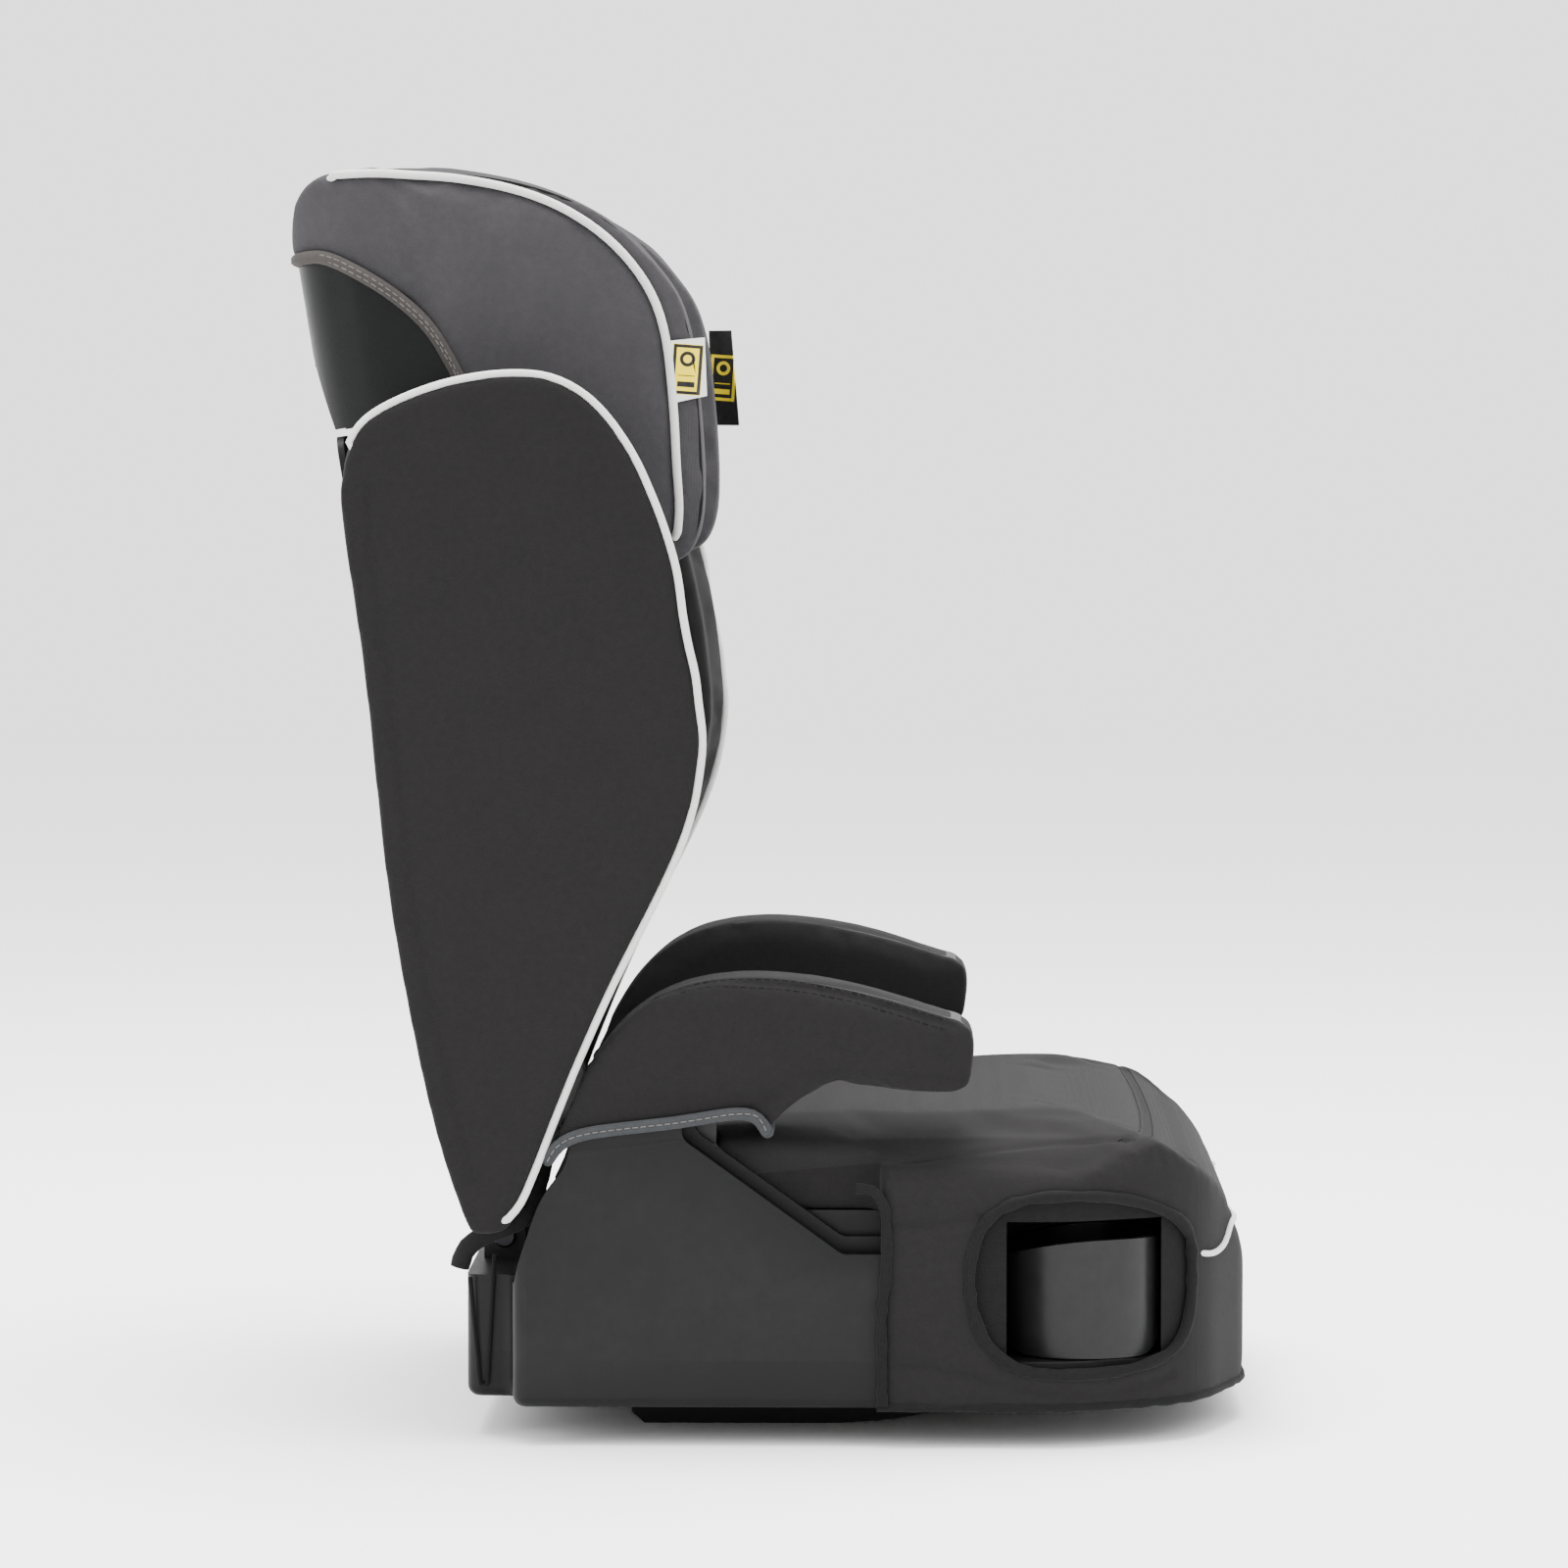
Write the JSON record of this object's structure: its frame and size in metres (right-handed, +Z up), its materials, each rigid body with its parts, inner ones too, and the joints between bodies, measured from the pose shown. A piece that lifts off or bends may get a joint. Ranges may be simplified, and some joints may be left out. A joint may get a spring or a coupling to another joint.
{
  "type": "booster seat",
  "caption": "High-back child booster seat with side-winged headrest that slides up the backrest, armrests, padded covers and drawer cup holders.",
  "frame": {"origin": "on the floor under the centre of the seat, midway between its front and the rear of the headrest", "axes": "+Z up, the seated child faces -Y, +X is the child's left"},
  "size_m": [0.424, 0.5086, 0.6682],
  "materials": {
    "base_plastic": "satin black moulded polypropylene, fine grain",
    "headrest_plastic": "smooth black, semi-gloss",
    "frame_plastic": "black moulded polypropylene",
    "rubber": "matt black rubber",
    "steel": "zinc-plated steel",
    "charcoal_fabric": "dark charcoal woven polyester, fine weave",
    "grey_fabric": "mid-grey woven polyester, fine weave",
    "foam": "soft polyurethane foam under the covers",
    "elastic": "black elastic cord",
    "label": "woven label, yellow and white",
    "dark_label": "woven label, black with yellow marks"
  },
  "bodies": {
    "base": {"base_shell": "base_plastic", "base_tray": "base_plastic", "base_screws": "steel", "right_runner": "rubber", "left_runner": "rubber", "hinge_bar": "steel", "right_armrest_frame": "frame_plastic", "left_armrest_frame": "frame_plastic", "armrest_screws": "steel", "right_armrest_cover": "charcoal_fabric", "left_armrest_cover": "charcoal_fabric", "seat_foam": "foam", "seat_cover": "charcoal_fabric", "cover_skirt": "charcoal_fabric", "right_cover_elastic": "elastic", "left_cover_elastic": "elastic"},
    "right_cup_drawer": {"right_cup_holder": "base_plastic"},
    "left_cup_drawer": {"left_cup_holder": "base_plastic"},
    "backrest": {"back_shell": "base_plastic", "right_hinge_hook": "frame_plastic", "left_hinge_hook": "frame_plastic", "hook_screws": "steel", "right_guide_rail": "frame_plastic", "left_guide_rail": "frame_plastic", "rail_screws": "steel", "height_rack": "frame_plastic", "back_pad": "charcoal_fabric", "right_wing_foam": "foam", "left_wing_foam": "foam", "right_wing_cover": "charcoal_fabric", "left_wing_cover": "charcoal_fabric"},
    "headrest": {"headrest_shell": "headrest_plastic", "headrest_tongue": "frame_plastic", "tongue_screws": "steel", "headrest_foam": "foam", "headrest_cover": "grey_fabric", "headrest_liner": "grey_fabric", "right_belt_guide": "frame_plastic", "left_belt_guide": "frame_plastic", "belt_guide_screws": "steel", "right_tag": "label", "left_tag": "dark_label", "latch_wire": "steel", "handle_spring": "steel"},
    "height_release": {"release_handle": "headrest_plastic", "pull_rod": "steel"}
  },
  "joints": [
    {"name": "backrest_recline", "type": "hinge", "parent": "base", "child": "backrest", "pos_m": [0, 0.142, 0.097], "axis": [-1, 0, 0], "range_deg": [0, 15]},
    {"name": "headrest_height", "type": "slide", "parent": "backrest", "child": "headrest", "axis": [0, 0.1599, 0.9871], "range_m": [0, 0.15], "deforming": ["latch_wire"]},
    {"name": "release_handle_pull", "type": "slide", "parent": "headrest", "child": "height_release", "axis": [0, 0.1599, 0.9871], "range_m": [0, 0.01], "stiffness_N_per_m": 400, "springref_m": -0.005, "deforming": ["latch_wire", "handle_spring"]},
    {"name": "right_cup_slide", "type": "slide", "parent": "base", "child": "right_cup_drawer", "axis": [-1, 0, 0], "range_m": [0, 0.088]},
    {"name": "left_cup_slide", "type": "slide", "parent": "base", "child": "left_cup_drawer", "axis": [1, 0, 0], "range_m": [0, 0.088]}
  ]
}
